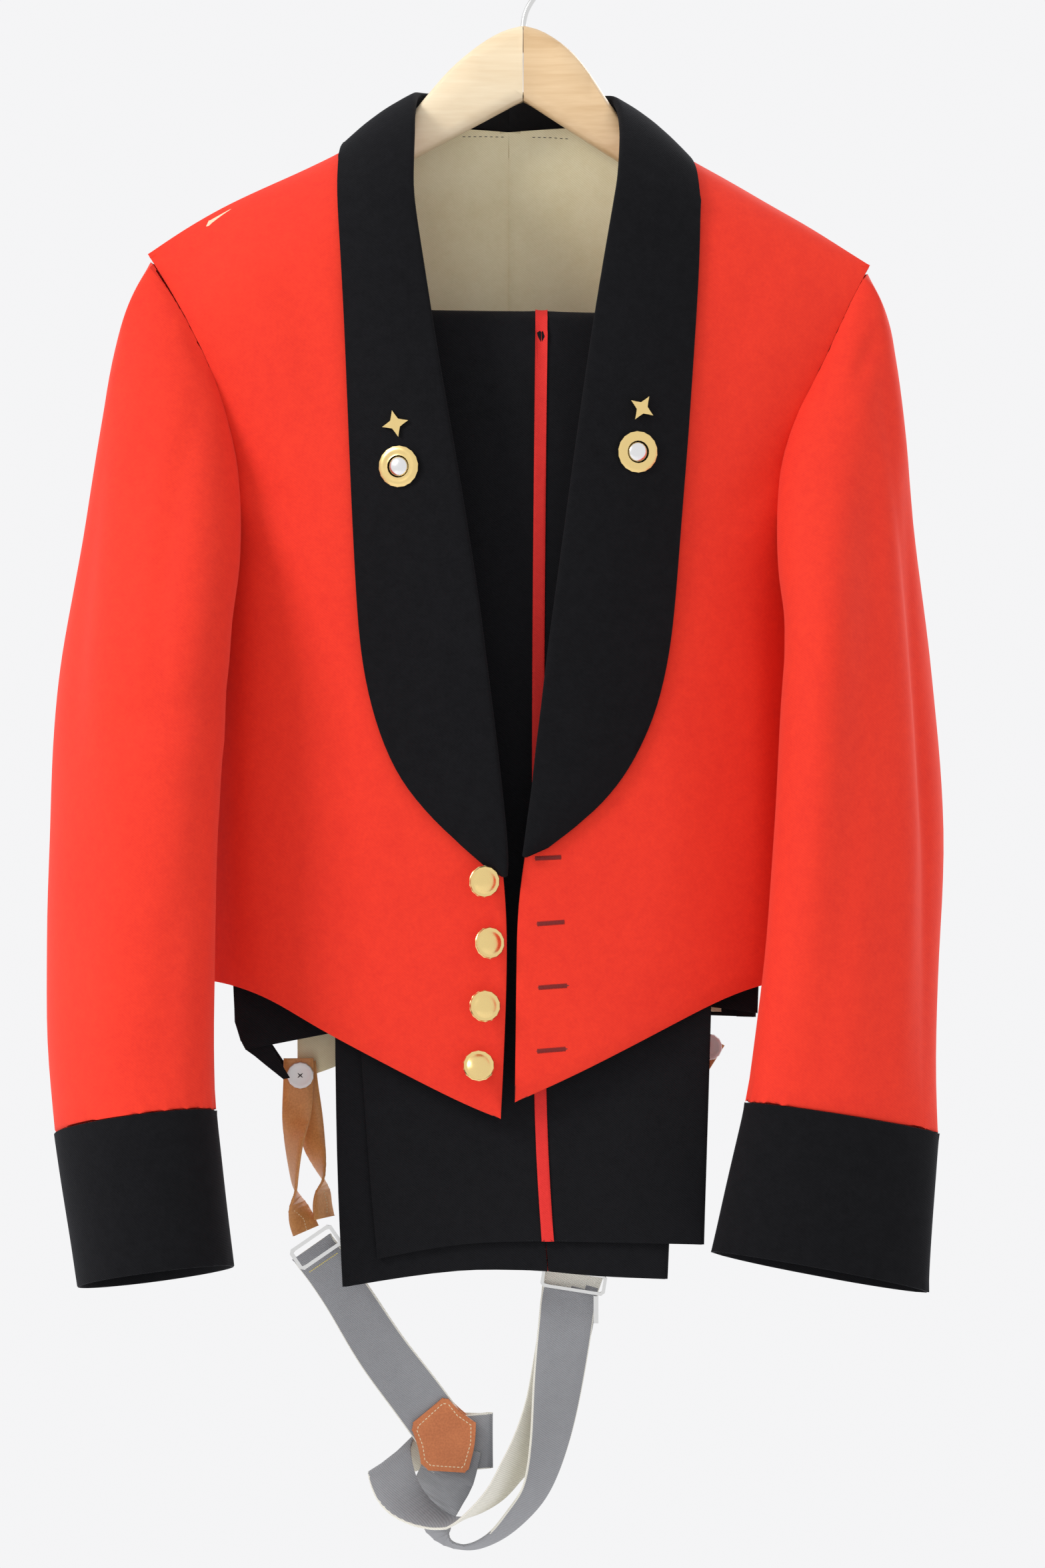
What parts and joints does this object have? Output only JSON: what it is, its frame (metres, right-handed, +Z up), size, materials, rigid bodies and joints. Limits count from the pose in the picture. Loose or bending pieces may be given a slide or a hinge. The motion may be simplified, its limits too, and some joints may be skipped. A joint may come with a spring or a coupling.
{
  "type": "dress uniform on a hanger",
  "caption": "mess dress uniform hung on a wooden hanger: short scarlet jacket with a dark shawl collar and cuffs, dark striped trousers folded over the bar, and grey braces with leather ends",
  "frame": {"origin": "top of the inside of the hanger's hook, where a rail holds it", "axes": "+Z up, +X to the viewer's right, +Y away from the viewer, who faces the front of the jacket"},
  "size_m": [0.5474, 0.1674, 1.0088],
  "materials": {
    "scarlet_wool": "matt milled wool",
    "navy_facecloth": "matt wool facecloth",
    "cream_lining": "smooth satin lining",
    "pale_wood": "clear satin lacquer",
    "bright_steel": "polished",
    "navy_wool": "matt fine wool",
    "red_stripe": "matt braid",
    "grey_webbing": "plain woven, cream back",
    "tan_leather": "smooth, waxed",
    "gilt_brass": "polished gilt",
    "silver_dome": "polished",
    "white_plastic": "polished"
  },
  "bodies": {
    "root": {"front_left": "scarlet_wool", "front_right": "scarlet_wool", "back_left": "scarlet_wool", "back_right": "scarlet_wool", "topsleeve_left": "scarlet_wool", "topsleeve_right": "scarlet_wool", "undersleeve_left": "scarlet_wool", "undersleeve_right": "scarlet_wool", "cuff_left": "navy_facecloth", "cuff_right": "navy_facecloth", "collar_left": "navy_facecloth", "collar_right": "navy_facecloth", "lining_left": "cream_lining", "lining_right": "cream_lining", "waist_facing": "cream_lining", "hanger_arm_left": "pale_wood", "hanger_arm_right": "pale_wood", "hanger_bar": "pale_wood", "hanger_hook": "bright_steel", "fork_loop": "bright_steel", "adjuster_outer": "bright_steel", "adjuster_inner": "bright_steel", "adjuster_lever_outer": "bright_steel", "adjuster_lever_inner": "bright_steel", "leg_near_front": "navy_wool", "leg_near_back": "navy_wool", "leg_far_front": "navy_wool", "leg_far_back": "navy_wool", "stripe_near": "red_stripe", "stripe_far": "red_stripe", "strap_back": "grey_webbing", "strap_outer": "grey_webbing", "strap_fold": "grey_webbing", "strap_inner": "grey_webbing", "patch_front": "tan_leather", "patch_back": "tan_leather", "tail_front": "tan_leather", "tail_back": "tan_leather", "tab_outer": "tan_leather", "tab_inner": "tan_leather", "button_1": "gilt_brass", "button_2": "gilt_brass", "button_3": "gilt_brass", "button_4": "gilt_brass", "badge_star_left": "gilt_brass", "badge_star_right": "gilt_brass", "badge_ring_left": "gilt_brass", "badge_ring_right": "gilt_brass", "badge_dome_left": "silver_dome", "badge_dome_right": "silver_dome", "brace_button_back": "white_plastic", "brace_button_outer": "white_plastic", "brace_button_inner": "white_plastic"}
  },
  "joints": []
}
